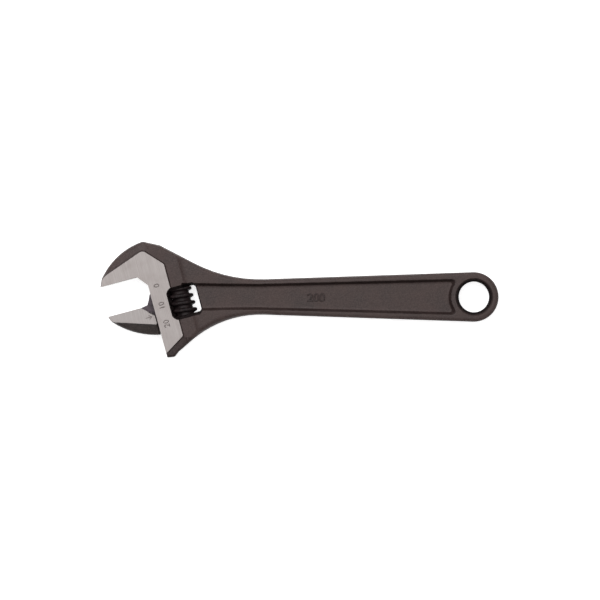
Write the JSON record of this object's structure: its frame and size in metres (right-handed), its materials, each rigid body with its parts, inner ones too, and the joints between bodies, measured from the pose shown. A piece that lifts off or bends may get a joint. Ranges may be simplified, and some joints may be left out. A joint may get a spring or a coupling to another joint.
{
  "type": "adjustable wrench",
  "caption": "Adjustable wrench with a slanted head, ground jaw faces, a sliding jaw moved by a thumb worm, a panelled handle and a hanging hole.",
  "frame": {"origin": "centre of the hanging hole, halfway through the handle's thickness", "axes": "+X along the handle away from the head, +Y towards the fixed jaw's side, +Z out of the face, through the thickness"},
  "size_m": [0.2079, 0.0608, 0.013],
  "materials": {
    "phosphated_steel": "dark phosphated forging with ground faces",
    "phosphated_jaw_steel": "dark phosphated forging with ground faces",
    "blackened_worm_steel": "blackened, slightly oily",
    "plain_pin_steel": "turned",
    "spring_steel": "drawn wire"
  },
  "bodies": {
    "frame": {"frame": "phosphated_steel", "worm_pin": "plain_pin_steel", "worm_spring": "spring_steel"},
    "sliding_jaw": {"sliding_jaw": "phosphated_jaw_steel"},
    "worm": {"worm": "blackened_worm_steel"}
  },
  "joints": [
    {"name": "worm_spin", "type": "hinge", "parent": "frame", "child": "worm", "pos_m": [-0.15214, -0.00254, 0], "axis": [0.2588, -0.9659, 0], "range_deg": [-1514.5, 1042.7]},
    {"name": "jaw_slide", "type": "slide", "parent": "frame", "child": "sliding_jaw", "axis": [0.2588, -0.9659, 0], "range_m": [-0.01598, 0.011]}
  ],
  "couplings": [
    {"joint": "worm_spin", "follows": "jaw_slide", "rad_per_m": 1653.5}
  ]
}
